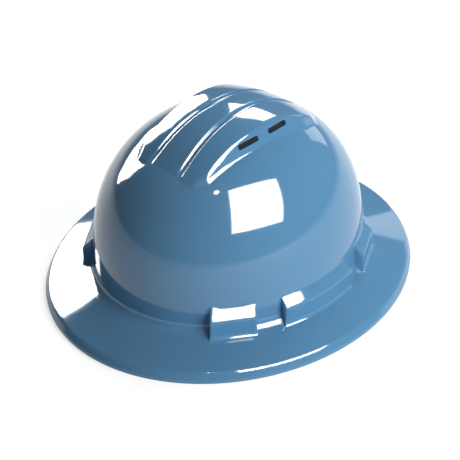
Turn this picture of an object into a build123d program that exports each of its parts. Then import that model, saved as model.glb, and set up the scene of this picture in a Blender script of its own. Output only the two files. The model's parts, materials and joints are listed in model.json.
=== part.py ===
from build123d import *
import math
import os

os.makedirs("parts", exist_ok=True)

# Full brim hard hat with a four point ratchet suspension.
# Millimetres, Z up, the wearer looks along -Y, and the brim's edge stands on Z = 0.
# The plan is a circle stretched along Y, so shell pieces are turned round Z and then stretched.

# Shell: crown and brim
brim_half_width = 146.0
length_over_width_share = 1.127
crown_half_width = 106.9
dome_height = 118.8
dome_height_power = 2.39
dome_width_power = 2.47
shell_wall = 2.6
brim_slope = 17.0
brim_roll = 7.0
lip_face = 2.2
lip_trim = 1.0
cove = 9.0
dome_steps = 8

# Ridges, grooves and vents on the crown
ridge_top = 156.0
ridge_foot_height = 60.0
ridge_centre_y = 1.0
ridge_half_length = 114.0
ridge_length_power = 2.2
ridge_height_power = 1.4
ridge_steps = 8
ridge_reach = 84.0
ridge_sweep = 60.0
ridge_floor = 105.0
flank_draft = 26.0
ridge_foot = [(24, -72), (31, -71), (38, -62), (40, -48), (41.3, -32), (43.3, -12), (44, 7), (45, 32), (44.5, 50), (40, 66), (30, 76)]
groove_depth = 1.8
groove_wall = 2.4
groove_inner = 10.0
groove_outer = 14.0
groove_taper = 4.5
vent_height = 4.4
vent_length = 20.5
vent_corner = 1.4
vent_x = 40.2
vent_z = 145.8
vent_front_y = -15.8
vent_pitch = 32.0

# Hollow bosses round the crown's base, by angle from +X in the unstretched circle
boss_depth = 7.0
boss_wall = 1.9
boss_corner = 2.0
boss_crease_height = 33.5
boss_top_slope = 45.0
front_boss_from = -50.3
rear_boss_from = 22.5
key_boss_angle = 18.0
slot_boss_from = -21.4
slot_boss_angle = 34.0
socket_skirt_bottom = 14.5
slot_half_angle = 8.0
slot_centre_angle = -4.4

# Headband: a half ellipse in front of a half circle
band_radius = 82.0
band_centre_y = 14.0
band_front_share = 1.35
band_wall = 1.8
band_bottom = 6.0
band_top = 36.0
band_arm_end = 42.0
arm_top = 31.0
ear_half_width = 9.0
ear_margin = 2.6
brow_slot_count = 6
brow_slot_angle = 11.0
brow_slot_bottom = 14.0
brow_slot_width = 3.0
brow_slot_height = 13.0

# Rack tails, pinion and ratchet
rack_wall = 1.7
rack_gap = 0.3
ratchet_height = 19.0
tail_half_height = 6.2
tail_start = 11.0
rack_start = 66.0
rack_end = 109.0
rack_step = 3.0
rack_outer = 12.0
tooth_pitch = 5.0
tooth_count = 10
tooth_addendum = 1.2
tooth_dedendum = 1.6
tooth_tip = 1.2
tooth_root = 2.6
housing_half_angle = 24.0
housing_rail = 4.0
housing_wall = 2.2
housing_boss_radius = 13.5
housing_boss_length = 7.0
shaft_radius = 4.0
stub_radius = 3.0
running_gap = 0.06
fit_gap = 0.3
knob_radius = 13.3
knob_length = 9.0
knob_cavity_radius = 12.0
knob_cavity_length = 5.2
knob_hub_radius = 5.8
knob_grip_radius = 15.6
grip_flutes = 12
flute_radius = 1.6
click_radius = 9.0
click_tooth = 0.6
click_length = 2.8
click_teeth = 24
spring_wall = 0.8
spring_bumps = 3
screw_radius = 1.5
screw_head_radius = 3.4
screw_head_length = 2.0
screw_length = 8.0
cover_screw_radius = 1.1
cover_screw_head_radius = 1.8
cover_screw_head_length = 0.9
cover_screw_angle = 18.0
guide_width_angle = 4.0
guide_wall = 1.6

# Keys, studs and straps
key_wall = 2.4
key_half_width = 13.0
key_shelf_height = 5.0
key_bar_in = 8.5
key_bar_height = 40.0
key_bar_radius = 1.8
key_ear_wall = 2.2
hanger_half_width = 6.0
hanger_wall = 3.0
hanger_plate_bottom = 26.0
hanger_plate_top = 37.0
stud_height = 32.0
stud_radius = 2.4
stud_head_radius = 4.4
stud_head_length = 1.6
stud_gap = 0.4
height_travel = 8.0
strap_width = 19.0
strap_wall = 1.4
strap_top = 108.0
strap_cross_gap = 0.9
strap_power = 2.1
strap_steps = 16

# Pads
brow_pad_thickness = 5.0
brow_pad_half_angle = 41.0
brow_pad_overlap = 2.0
nape_pad_thickness = 6.0
nape_pad_half_angle = 27.0
pad_draw = 1.6
pad_studs = 4
pad_stud_height = 30.0
pad_stud_radius = 2.6
pad_stud_length = 1.2

overrun = 5.0


# Shared sums
crown_half_length = crown_half_width * length_over_width_share
slope = math.radians(brim_slope)
roll_centre = (brim_half_width - brim_roll, lip_face)
slope_end = (roll_centre[0] + brim_roll * math.sin(slope), lip_face + brim_roll * math.cos(slope))


def brim_top(radius):
    """Height of the brim's straight slope at a radius."""
    return slope_end[1] + math.tan(slope) * (slope_end[0] - radius)


cove_rise = cove / math.tan(math.radians(90 + brim_slope) / 2)
dome_base = brim_top(crown_half_width) + cove_rise
cove_centre = (crown_half_width + cove, dome_base)
crown_inner = crown_half_width - shell_wall
pinion_pitch = tooth_pitch * tooth_count / (2 * math.pi)
rack_outside = band_radius - rack_gap
rack_inside = rack_outside - rack_wall
rack_middle = (rack_inside + rack_outside) / 2
plate_outside = rack_inside - fit_gap
plate_inside = plate_outside - housing_wall
cover_inside = rack_outside + fit_gap
cover_outside = cover_inside + housing_wall
casing_back = band_centre_y + cover_inside + housing_boss_length
knob_front = casing_back + fit_gap
knob_back = knob_front + knob_length
pinion_front = band_centre_y + plate_outside + fit_gap
pinion_back = band_centre_y + rack_outside + 2 * fit_gap
recess_back = pinion_back + fit_gap
housing_half_height = rack_outer + fit_gap + housing_rail
housing_bottom = ratchet_height - housing_half_height
housing_top = ratchet_height + housing_half_height
ear_top = stud_height + height_travel + stud_radius + stud_gap + ear_margin
pad_stud_angle = 2 * brow_slot_angle


def from_centre(centre, radius, degrees):
    """A point at an angle on a circle."""
    turn = math.radians(degrees)
    return (centre[0] + radius * math.cos(turn), centre[1] + radius * math.sin(turn))


def arc(centre, radius, start, end):
    """An arc between two angles."""
    middle = (start + end) / 2
    return ThreePointArc(*(from_centre(centre, radius, a) for a in (start, middle, end)))


def dome_line(radius, height, upwards):
    """The dome's side from its base to its top, or back down."""
    points = []
    for step in range(dome_steps + 1):
        turn = math.pi / 2 * step / dome_steps
        share = max(math.cos(turn), 0.0) ** (2 / dome_width_power)
        points.append((radius * share, dome_base + height * math.sin(turn) ** (2 / dome_height_power)))
    points[-1] = (0, dome_base + height)
    if upwards:
        return Spline(*points, tangents=((0, 1), (-1, 0)))
    return Spline(*reversed(points), tangents=((1, 0), (0, -1)))


def upright(lines):
    """A face from lines drawn as radius and height."""
    return Plane.XZ * make_face(Wire(lines))


def outline(points):
    """An upright face with straight sides."""
    return Plane.XZ * make_face(Polyline(*points, close=True))


def turned(face, start=0.0, angle=360.0):
    """A solid of revolution round Z, between two angles."""
    return Rot(0, 0, start) * revolve(face, Axis.Z, angle)


def stretched(solid):
    """The circle's plan made as long as the hat."""
    return scale(solid, by=(1, length_over_width_share, 1))


def dome(radius, height):
    """A solid dome on the crown's base plane."""
    lines = [dome_line(radius, height, True)]
    lines.append(Line((0, dome_base + height), (0, dome_base)))
    lines.append(Line((0, dome_base), (radius, dome_base)))
    return turned(upright(lines))


def prism(points):
    """An upright prism over a plan outline, through the crown's top, before the stretch."""
    plan = [(x, y / length_over_width_share) for x, y in points]
    solid = extrude(make_face(Polyline(*plan, close=True)), dome_height + overrun)
    return Pos(0, 0, dome_base) * solid


def mirrored(shape):
    """The same piece on the other side of the hat."""
    return mirror(shape, Plane.YZ)


def one(shape):
    """The largest solid of a result."""
    return max(shape.solids(), key=lambda s: s.volume)


def boss_profile():
    """Section of a boss: upright outer face and a top that slopes up to the crown."""
    inner = crown_half_width - shell_wall / 2
    outer = crown_half_width + boss_depth
    rise = (outer - inner) * math.tan(math.radians(boss_top_slope))
    bottom = shell_wall / 2
    return outline([
        (inner, brim_top(inner) - bottom),
        (outer, brim_top(outer) - bottom),
        (outer, boss_crease_height),
        (inner, boss_crease_height + rise),
    ])


def boss(start, angle):
    solid = turned(boss_profile(), start, angle)
    outer = crown_half_width + boss_depth
    corners = [e for e in solid.edges().filter_by(Axis.Z) if abs(math.hypot(*tuple(e.center())[:2]) - outer) < fit_gap]
    return fillet(corners, boss_corner)


def side_angle(length, radius=crown_half_width):
    """Angle that a length takes on a circle."""
    return math.degrees(length / radius)


def pocket(start, angle):
    """Space inside a boss, open downwards."""
    inner = crown_half_width
    outer = crown_half_width + boss_depth - boss_wall
    return turned(outline([(inner, 0), (outer, 0), (outer, socket_top), (inner, socket_top)]), start, angle)


def skirt(start, angle):
    """Wall that closes a pocket on the inside of the hat."""
    face = outline([
        (crown_inner, socket_skirt_bottom),
        (crown_half_width, socket_skirt_bottom),
        (crown_half_width, dome_base + cove),
        (crown_inner, dome_base + cove),
    ])
    return turned(face, start, angle)


socket_top = boss_crease_height - boss_wall
corner_angle = side_angle(boss_wall)


def crown_height(x, y):
    """Height of the dome's outer face over a point of the unstretched plan."""
    share = 1 - (math.hypot(x, y) / crown_half_width) ** dome_width_power
    return dome_base + dome_height * share ** (1 / dome_height_power)


def ridge_height(y):
    """Height of the ridges' top line over a point of the hat's length."""
    share = 1 - (abs(y - ridge_centre_y) / ridge_half_length) ** ridge_length_power
    return ridge_foot_height + (ridge_top - ridge_foot_height) * share ** (1 / ridge_height_power)


def ridge_skin(sink):
    """A solid under the ridges' top line, swept to both sides round the Y axis."""
    points = []
    for step in range(-ridge_steps, ridge_steps + 1):
        y = ridge_centre_y + ridge_reach * step / ridge_steps
        points.append((y / length_over_width_share, ridge_height(y) - sink))
    low = ridge_foot_height
    lines = [
        Spline(*points),
        Line(points[-1], (points[-1][0], low)),
        Line((points[-1][0], low), (points[0][0], low)),
        Line((points[0][0], low), points[0]),
    ]
    face = Plane.YZ * make_face(Wire(lines))
    return Rot(0, -ridge_sweep / 2, 0) * revolve(face, Axis.Y, ridge_sweep)


def ridge_block(inset):
    """A block with sloping sides whose foot follows the ridges' outline on the dome."""
    foot = [(x, y / length_over_width_share) for x, y in ridge_foot]
    foot = foot + [(-x, y) for x, y in reversed(foot)]
    draft = math.tan(math.radians(flank_draft))
    base = []
    for number, (x, y) in enumerate(foot):
        before = foot[number - 1]
        after = foot[(number + 1) % len(foot)]
        along = (after[0] - before[0], after[1] - before[1])
        length = math.hypot(*along)
        spread = (crown_height(x, y) - ridge_floor) * draft - inset
        base.append((x + along[1] / length * spread, y - along[0] / length * spread))
    face = make_face(Polyline(*base, close=True))
    block = extrude(face, dome_base + dome_height + boss_depth * 2 - ridge_floor, taper=flank_draft)
    return Pos(0, 0, ridge_floor) * block


def valley():
    """Upright prism over the narrow valley between two ridges, at +X."""
    reach = ridge_reach
    taper = groove_taper
    return prism([
        (groove_inner + taper, -reach),
        (groove_outer + taper, -reach),
        (groove_outer, 0),
        (groove_outer, reach),
        (groove_inner, reach),
        (groove_inner, 0),
    ])


def make_shell():
    wall = shell_wall
    cove_turn = 270 - brim_slope
    roll_turn = 90 - brim_slope
    edge = brim_half_width
    outer_cove_end = from_centre(cove_centre, cove, cove_turn)
    inner_cove_end = from_centre(cove_centre, cove + wall, cove_turn)
    outer_roll = from_centre(roll_centre, brim_roll, roll_turn)
    inner_roll = from_centre(roll_centre, brim_roll - wall, roll_turn)
    top = dome_base + dome_height
    lines = [
        dome_line(crown_half_width, dome_height, False),
        arc(cove_centre, cove, 180, cove_turn),
        Line(outer_cove_end, outer_roll),
        arc(roll_centre, brim_roll, roll_turn, 0),
        Line((edge, lip_face), (edge, -lip_trim)),
        Line((edge, -lip_trim), (edge - wall, -lip_trim)),
        Line((edge - wall, -lip_trim), (edge - wall, lip_face)),
        arc(roll_centre, brim_roll - wall, 0, roll_turn),
        Line(inner_roll, inner_cove_end),
        arc(cove_centre, cove + wall, cove_turn, 180),
        dome_line(crown_inner, dome_height - wall, True),
        Line((0, top - wall), (0, top)),
    ]
    shell = turned(upright(lines))

    # Raised ridges that fade into the dome at both ends, hollow inside
    block = ridge_block(0)
    core = dome(crown_half_width - wall / 2, dome_height - wall / 2)
    ridges = block & ridge_skin(0)
    gap = valley()
    gap = (gap + mirrored(gap)) - ridge_skin(groove_depth)
    ridges = ridges - gap - core
    hollow = ridge_block(wall / math.cos(math.radians(flank_draft)))
    hollow = hollow & ridge_skin(groove_depth + groove_wall)
    shell = shell + ridges - hollow

    # Vents through the sides of the ridges
    vent_face = RectangleRounded(vent_length / length_over_width_share, vent_height, vent_corner)
    vent = extrude(Plane.YZ * vent_face, boss_depth, both=True)
    for number in range(2):
        centre_y = (vent_front_y + number * vent_pitch) / length_over_width_share
        hole = Pos(vent_x, centre_y, vent_z) * Rot(0, -flank_draft, 0) * vent
        shell = shell - hole - mirrored(hole)

    # Hollow bosses with the inner walls of their pockets
    for start, angle in ((front_boss_from, key_boss_angle), (rear_boss_from, key_boss_angle)):
        part = boss(start, angle) + skirt(start, angle)
        hole = pocket(start + corner_angle, angle - 2 * corner_angle)
        for made, cut in ((part, hole), (mirrored(part), mirrored(hole))):
            shell = shell + made - cut
    slot_start = slot_centre_angle - slot_half_angle
    part = boss(slot_boss_from, slot_boss_angle)
    part = part + skirt(slot_start - corner_angle, 2 * (slot_half_angle + corner_angle))
    hole = pocket(slot_start, 2 * slot_half_angle)
    for made, cut in ((part, hole), (mirrored(part), mirrored(hole))):
        shell = shell + made - cut

    # The edge is trimmed after the stretch, so that the hat stands on a flat face
    ground = Box(4 * brim_half_width, 4 * brim_half_width, 2 * lip_trim)
    return one(stretched(one(shell)) - Pos(0, 0, -lip_trim) * ground)


# Places of the four keys, worked out from the bosses that hold them
def ellipse_hit(start, direction, half_x, half_y):
    """Distance along a line to the first crossing of an ellipse round the band's centre."""
    x, y = start[0] / half_x, (start[1] - band_centre_y) / half_y
    dx, dy = direction[0] / half_x, direction[1] / half_y
    a = dx * dx + dy * dy
    b = x * dx + y * dy
    c = x * x + y * y - 1
    return (-b - math.sqrt(b * b - a * c)) / a


def key_place(boss_start):
    """Wall point, inward direction, distance to the headband and the headband's outward normal."""
    turn = math.radians(boss_start + key_boss_angle / 2)
    wall = (crown_inner * math.cos(turn), crown_inner * math.sin(turn) * length_over_width_share)
    span = math.hypot(wall[0], wall[1] - strap_cross_y)
    inward = (-wall[0] / span, (strap_cross_y - wall[1]) / span)
    half_x = band_radius + band_wall
    half_y = half_x * (band_front_share if boss_start < 0 else 1)
    reach = ellipse_hit(wall, inward, half_x, half_y)
    hit = (wall[0] + inward[0] * reach, wall[1] + inward[1] * reach)
    normal = math.atan2((hit[1] - band_centre_y) / half_y**2, hit[0] / half_x**2)
    return wall, inward, reach, hit, normal


def crossing_y():
    """Where the line from a front key to the opposite rear key passes the middle."""
    front = math.radians(front_boss_from + key_boss_angle / 2)
    rear = math.radians(rear_boss_from + key_boss_angle / 2)
    fx, fy = math.cos(front), math.sin(front) * length_over_width_share
    rx, ry = -math.cos(rear), math.sin(rear) * length_over_width_share
    return crown_inner * (fy + (ry - fy) * fx / (fx - rx))


strap_cross_y = crossing_y()


def local_box(place, angle, x_from, x_to, half_width, z_from, z_to):
    """A box along a direction from a point in the plan."""
    box = Box(x_to - x_from, 2 * half_width, z_to - z_from)
    box = Pos((x_from + x_to) / 2, 0, (z_from + z_to) / 2) * box
    return Pos(place[0], place[1], 0) * Rot(0, 0, math.degrees(angle)) * box


def local_rod(place, angle, x_from, x_to, z, radius):
    """A round rod along a direction from a point in the plan."""
    rod = Plane.YZ * Circle(radius)
    rod = Pos(x_from, 0, z) * extrude(rod, x_to - x_from)
    return Pos(place[0], place[1], 0) * Rot(0, 0, math.degrees(angle)) * rod


def wall_sag(turn, half_width):
    """How far the crown's inner wall curves away from a flat piece across its half width."""
    half_x, half_y = crown_inner, crown_inner * length_over_width_share
    curve = math.hypot(half_x * math.sin(turn), half_y * math.cos(turn)) ** 3 / (half_x * half_y)
    return half_width**2 / (2 * curve)


def make_key(boss_start):
    """A moulded key: hook in the shell's pocket, bar for the strap and arm to the headband."""
    wall, inward, reach, hit, normal = key_place(boss_start)
    turn = math.radians(boss_start + key_boss_angle / 2)
    outwards = math.atan2(math.sin(turn) / length_over_width_share, math.cos(turn))
    spread = 1 / math.hypot(math.cos(turn), math.sin(turn) / length_over_width_share)
    sag = wall_sag(turn, key_half_width)
    back = -fit_gap - sag
    front = back - key_wall
    blade_in = (crown_half_width - crown_inner) * spread + fit_gap
    blade_out = (crown_half_width + boss_depth - boss_wall - crown_inner) * spread - sag - fit_gap
    foot = socket_skirt_bottom - fit_gap
    shelf_top = hanger_plate_bottom + key_shelf_height
    shelf_end = -key_bar_in - key_bar_radius
    facing = math.atan2(inward[1], inward[0])
    ear_half = strap_width / 2 + fit_gap + key_ear_wall
    body = local_box(wall, outwards, front, back, key_half_width, foot - key_wall, shelf_top)
    body = body + local_box(wall, outwards, front, blade_out, key_half_width, foot - key_wall, foot)
    body = body + local_box(wall, outwards, blade_in, blade_out, key_half_width, foot - key_wall, socket_top - fit_gap)
    body = body + local_box(wall, outwards, shelf_end, front, ear_half, hanger_plate_bottom, shelf_top)
    for side in (-1, 1):
        ear = Box(2 * key_bar_radius + key_wall, key_ear_wall, key_bar_height + key_wall - hanger_plate_bottom)
        ear_z = (key_bar_height + key_wall + hanger_plate_bottom) / 2
        ear = Pos(key_bar_in, side * (ear_half - key_ear_wall / 2), ear_z) * ear
        body = body + Pos(wall[0], wall[1], 0) * Rot(0, 0, math.degrees(facing)) * ear
    bar = Plane.XZ * Circle(key_bar_radius)
    bar = Pos(key_bar_in, ear_half - key_ear_wall / 2, key_bar_height) * extrude(bar, 2 * ear_half - key_ear_wall)
    body = body + Pos(wall[0], wall[1], 0) * Rot(0, 0, math.degrees(facing)) * bar
    arm_end = reach - stud_gap - hanger_wall / 2
    arm = local_box(wall, facing, key_wall, arm_end, hanger_half_width, hanger_plate_bottom, shelf_top - key_wall)
    body = body + arm
    plate = local_box(
        hit, normal, stud_gap, stud_gap + hanger_wall, hanger_half_width, hanger_plate_bottom, hanger_plate_top
    )
    body = body + plate
    hole = local_rod(hit, normal, 0, stud_gap + hanger_wall + overrun, stud_height, stud_radius + running_gap)
    return one(body - hole)


def make_stud(boss_start):
    """A stud that holds the headband's slot to the key's plate."""
    wall, inward, reach, hit, normal = key_place(boss_start)
    head = -band_thickness(normal) - stud_gap
    shank = local_rod(hit, normal, head, stud_gap + hanger_wall, stud_height, stud_radius)
    cap = local_rod(hit, normal, head - stud_head_length, head, stud_height, stud_head_radius)
    return shank + cap


def band_thickness(normal):
    """The headband's greatest thickness along a normal."""
    return band_wall * math.hypot(math.cos(normal), band_front_share * math.sin(normal))


def make_strap(sign, top):
    """A flat webbing strap from a front key over the crown to the opposite rear key."""
    front, front_in = key_place(front_boss_from)[:2]
    rear, rear_in = key_place(rear_boss_from)[:2]
    spans = []
    for wall in (front, rear):
        spans.append(math.hypot(wall[0], wall[1] - strap_cross_y) - key_bar_in)
    ring = key_bar_radius + fit_gap + strap_wall
    faces = []
    for span, outwards in ((spans[0], 1), (spans[1], -1)):
        # The arch lands on the inner side of the loop round the bar
        drop = top - key_bar_height
        reach = span - ring + strap_wall
        outer = arch_points(reach, drop, outwards)
        inner = arch_points(reach - strap_wall, drop - strap_wall, outwards)
        inner = [(u, z - strap_wall) for u, z in inner]
        side = Polyline(*outer) + Polyline(*reversed(inner))
        side = side + Line(outer[-1], inner[-1]) + Line(inner[0], outer[0])
        faces.append(make_face(side))
        loop = Circle(ring) - Circle(ring - strap_wall)
        faces.append(Pos(outwards * span, -drop) * loop)
    section = faces[0] + faces[1] + faces[2] + faces[3]
    strap = extrude(section, strap_width / 2, both=True)
    facing = math.degrees(math.atan2(front[1] - strap_cross_y, front[0]))
    strap = Pos(0, strap_cross_y, top) * Rot(0, 0, facing) * Rot(90, 0, 0) * strap
    return one(strap if sign > 0 else mirrored(strap))


def arch_points(span, drop, outwards):
    """Points down one side of an arch, close together where it bends."""
    points = []
    for step in range(strap_steps + 1):
        turn = math.pi / 2 * step / strap_steps
        reach = span * math.sin(turn) ** (2 / strap_power)
        points.append((outwards * reach, -drop * (1 - max(math.cos(turn), 0.0) ** (2 / strap_power))))
    return points


def ring_part(inner, outer, bottom, top, start, angle, share=1.0):
    """A curved bar round the headband's centre, stretched along Y by a share."""
    bar = turned(outline([(inner, bottom), (outer, bottom), (outer, top), (inner, top)]), start, angle)
    if share != 1.0:
        bar = scale(bar, by=(1, share, 1))
    return Pos(0, band_centre_y, 0) * bar


def make_headband():
    """Front band with its arms, ears, slots for the studs and guide loops for the tails."""
    outer = band_radius + band_wall
    band = ring_part(band_radius, outer, band_bottom, band_top, 180, 180, band_front_share)
    slots = []
    for number in range(brow_slot_count):
        turn = 270 + (number - (brow_slot_count - 1) / 2) * brow_slot_angle
        slot = local_box((0, 0), math.radians(turn), band_radius / 2, outer + band_radius / 2,
                         brow_slot_width / 2, brow_slot_bottom, brow_slot_bottom + brow_slot_height)
        slots.append(Pos(0, band_centre_y, 0) * slot)
    for slot in slots:
        band = band - slot
    # Arms on the rear circle, narrower than the brow band
    for side in (0, 1):
        arm = ring_part(band_radius, outer, band_bottom, arm_top, 0, band_arm_end)
        tail_height = ratchet_height + tail_half_height + fit_gap
        tail_foot = ratchet_height - tail_half_height - fit_gap
        lip_in = rack_inside - fit_gap - guide_wall
        guide_from = band_arm_end - guide_width_angle
        top_bar = ring_part(lip_in, outer, tail_height, tail_height + guide_wall, guide_from, guide_width_angle)
        foot_bar = ring_part(lip_in, outer, tail_foot - guide_wall, tail_foot, guide_from, guide_width_angle)
        lip = ring_part(lip_in, lip_in + guide_wall, tail_foot - guide_wall, tail_height + guide_wall,
                        guide_from, guide_width_angle)
        arm = arm + top_bar + foot_bar + lip
        band = band + (mirrored(arm) if side else arm)
    # Ears above the band, each with an upright slot for a stud
    for boss_start in (front_boss_from, rear_boss_from):
        hit, normal = key_place(boss_start)[3:]
        share = band_front_share if boss_start < 0 else 1.0
        degrees = math.degrees(math.atan2((hit[1] - band_centre_y) / share, hit[0]))
        half = side_angle(ear_half_width, band_radius)
        low = arm_top if boss_start > 0 else band_top
        ear = ring_part(band_radius, outer, low - ear_half_width, ear_top, degrees - half, 2 * half, share)
        reach = 2 * overrun
        slot_half = stud_radius + stud_gap
        slot = local_box(hit, normal, -reach, reach, slot_half,
                         stud_height - slot_half, stud_height + height_travel + slot_half)
        for made, cut in ((ear, slot), (mirrored(ear), mirrored(slot))):
            band = band + made - cut
    # Holes for the brow pad's snap studs
    for place, turn in pad_stud_places():
        band = band - local_rod(place, turn, -overrun, overrun, pad_stud_height, pad_stud_radius)
    return one(band)


def pad_stud_places():
    """Points on the brow band's outer face, with the directions of their normals."""
    places = []
    half_x = band_radius + band_wall
    half_y = half_x * band_front_share
    for number in range(pad_studs):
        turn = math.radians(270 + (number - (pad_studs - 1) / 2) * pad_stud_angle)
        point = (half_x * math.cos(turn), band_centre_y + half_y * math.sin(turn))
        normal = math.atan2(math.sin(turn) / half_y, math.cos(turn) / half_x)
        places.append((point, normal))
    return places


def make_pad_studs():
    """Snap studs that hold the brow pad, seated in the band's holes."""
    studs = []
    for place, turn in pad_stud_places():
        thick = band_thickness(turn)
        shank = local_rod(place, turn, -thick, pad_stud_length, pad_stud_height, pad_stud_radius - running_gap)
        cap = local_rod(place, turn, running_gap, pad_stud_length, pad_stud_height, pad_stud_radius + pad_stud_length)
        studs.append(shank + cap)
    return Compound(children=studs)


def make_tail(upper):
    """A tail that ends in a rack: the left one meshes above the pinion, the right one below."""
    sign = 1 if upper else -1
    strip = ring_part(rack_inside, rack_outside, ratchet_height - tail_half_height,
                      ratchet_height + tail_half_height, tail_start, rack_start - tail_start)
    root = pinion_pitch + tooth_dedendum
    low, high = sorted((ratchet_height + sign * root, ratchet_height + sign * rack_outer))
    rack = ring_part(rack_inside, rack_outside, low, high, rack_start - rack_step, rack_end - rack_start + rack_step)
    neck_low, neck_high = sorted((ratchet_height, ratchet_height + sign * rack_outer))
    neck = ring_part(rack_inside, rack_outside, neck_low, neck_high, rack_start - rack_step, rack_step)
    tail = strip + rack + neck
    tooth_angle = math.degrees(tooth_pitch / rack_middle)
    count = int((rack_end - 90) / tooth_angle)
    tip = pinion_pitch - tooth_addendum
    for number in range(-count, count + 1):
        tooth = Polyline(
            (-tooth_root / 2, root + tooth_addendum), (-tooth_root / 2, root), (-tooth_tip / 2, tip),
            (tooth_tip / 2, tip), (tooth_root / 2, root), (tooth_root / 2, root + tooth_addendum), close=True)
        tooth = extrude(Plane.XZ * make_face(tooth), -rack_wall)
        tooth = Pos(0, rack_inside, 0) * tooth
        if not upper:
            tooth = mirror(tooth, Plane.XY)
        tooth = Pos(0, band_centre_y, ratchet_height) * Rot(0, 0, number * tooth_angle) * tooth
        tail = tail + tooth
    tail = one(tail)
    return tail if upper else mirrored(tail)


def gear_face():
    """Outline of the pinion, with a gap at its top and at its foot."""
    points = []
    step = 360 / tooth_count
    root = pinion_pitch - tooth_dedendum
    tip = pinion_pitch + tooth_addendum
    for number in range(tooth_count):
        middle = (number + 1 / 2) * step + 90
        for radius, width in ((root, -tooth_root), (tip, -tooth_tip), (tip, tooth_tip), (root, tooth_root)):
            turn = middle + math.degrees(width / 2 / radius)
            points.append(from_centre((0, 0), radius, turn))
    return make_face(Polyline(*points, close=True))


def lathe_rod(y_from, y_to, radius):
    """A round piece on the knob's axis."""
    return shaped_rod(Circle(radius), y_from, y_to)


def shaped_rod(face, y_from, y_to):
    """A face pushed along the knob's axis."""
    return Pos(0, y_from, ratchet_height) * extrude(Plane.XZ * face, y_from - y_to)


def make_pinion():
    gear = shaped_rod(gear_face(), pinion_front, pinion_back)
    stub = lathe_rod(band_centre_y + plate_inside + fit_gap, pinion_front, stub_radius)
    shaft = lathe_rod(pinion_back, knob_back - screw_head_length - key_wall, shaft_radius)
    hole = lathe_rod(knob_back - screw_head_length - screw_length, knob_back, screw_radius)
    return one(gear + stub + shaft - hole)


def make_plate():
    """Plate between the nape pad and the racks, with rails and the pinion's front bearing."""
    start = 90 - housing_half_angle
    plate = ring_part(plate_inside, plate_outside, housing_bottom, housing_top, start, 2 * housing_half_angle)
    rail = housing_rail
    for bottom, top in ((housing_bottom, housing_bottom + rail), (housing_top - rail, housing_top)):
        plate = plate + ring_part(plate_inside, cover_inside, bottom, top, start, 2 * housing_half_angle)
    bore = lathe_rod(band_centre_y, band_centre_y + cover_inside, stub_radius + running_gap)
    plate = plate - bore
    for hole in cover_rods(cover_screw_radius + running_gap, plate_inside, cover_outside):
        plate = plate - hole
    return one(plate)


def cover_rods(radius, start, end):
    """Four rods through the rails, straight out from the headband's centre."""
    rods = []
    offset = housing_half_height - housing_rail / 2
    for turn in (90 - cover_screw_angle, 90 + cover_screw_angle):
        for height in (ratchet_height - offset, ratchet_height + offset):
            rods.append(local_rod((0, band_centre_y), math.radians(turn), start, end, height, radius))
    return rods


def make_cover():
    """Cover over the racks, with the knob's boss and the click ring."""
    start = 90 - housing_half_angle
    cover = ring_part(cover_inside, cover_outside, housing_bottom, housing_top, start, 2 * housing_half_angle)
    cover = cover + lathe_rod(band_centre_y + cover_inside + housing_wall / 2, casing_back, housing_boss_radius)
    click = Circle(click_radius)
    for number in range(click_teeth):
        place = from_centre((0, 0), click_radius, 360 / click_teeth * number)
        click = click + Pos(*place) * Circle(click_tooth)
    click = click - Circle(knob_hub_radius + 2 * fit_gap)
    cover = cover + shaped_rod(click, casing_back - fit_gap, casing_back + click_length)
    recess = lathe_rod(band_centre_y, recess_back, pinion_pitch + tooth_addendum + fit_gap)
    bore = lathe_rod(band_centre_y, knob_back, shaft_radius + running_gap)
    cover = cover - recess - bore
    for hole in cover_rods(cover_screw_radius + running_gap, plate_inside, cover_outside + overrun):
        cover = cover - hole
    return one(cover)


def make_knob():
    """Cup-shaped core of the adjusting knob."""
    knob = lathe_rod(knob_front, knob_back, knob_radius)
    cavity = Circle(knob_cavity_radius) - Circle(knob_hub_radius)
    knob = knob - shaped_rod(cavity, knob_front, knob_front + knob_cavity_length)
    knob = knob - lathe_rod(knob_front, knob_back - screw_head_length - key_wall, shaft_radius + running_gap)
    knob = knob - lathe_rod(knob_front, knob_back, screw_radius + running_gap)
    knob = knob - lathe_rod(knob_back - screw_head_length, knob_back, screw_head_radius + running_gap)
    return one(knob)


def make_knob_grip():
    """Soft ring with flutes round the knob."""
    face = Circle(knob_grip_radius) - Circle(knob_radius + running_gap)
    for number in range(grip_flutes):
        place = from_centre((0, 0), knob_grip_radius + flute_radius / 2, 360 / grip_flutes * number)
        face = face - Pos(*place) * Circle(flute_radius)
    return one(shaped_rod(face, knob_front + fit_gap, knob_back - fit_gap))


def make_click_spring():
    """Ring inside the knob whose bumps ride over the click teeth."""
    outer = knob_cavity_radius - running_gap
    inner = outer - spring_wall
    face = Circle(outer) - Circle(inner)
    clear = click_radius + click_tooth + fit_gap
    bump = (inner - clear) / 2 + spring_wall / 2
    for number in range(spring_bumps):
        place = from_centre((0, 0), clear + bump, 360 / spring_bumps * number)
        face = face + Pos(*place) * Circle(bump)
    start = knob_front + fit_gap + running_gap
    return one(shaped_rod(face, start, start + click_length))


def make_knob_screw():
    shank = lathe_rod(knob_back - screw_head_length - screw_length + fit_gap, knob_back, screw_radius - running_gap)
    head = lathe_rod(knob_back - screw_head_length, knob_back - fit_gap, screw_head_radius)
    slot = Box(screw_radius, screw_head_length, 2 * screw_head_radius)
    screw = lathe_rod(knob_back - fit_gap, knob_back + overrun, screw_head_radius)
    return one(shank + head - screw - Pos(0, knob_back, ratchet_height) * slot)


def make_cover_screws():
    """Four screws that hold the housing's halves together."""
    start = plate_inside + housing_wall / 2
    seat = cover_outside + running_gap
    shanks = cover_rods(cover_screw_radius, start, seat)
    heads = cover_rods(cover_screw_head_radius, seat, seat + cover_screw_head_length)
    return Compound(children=[shank + head for shank, head in zip(shanks, heads)])


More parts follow.
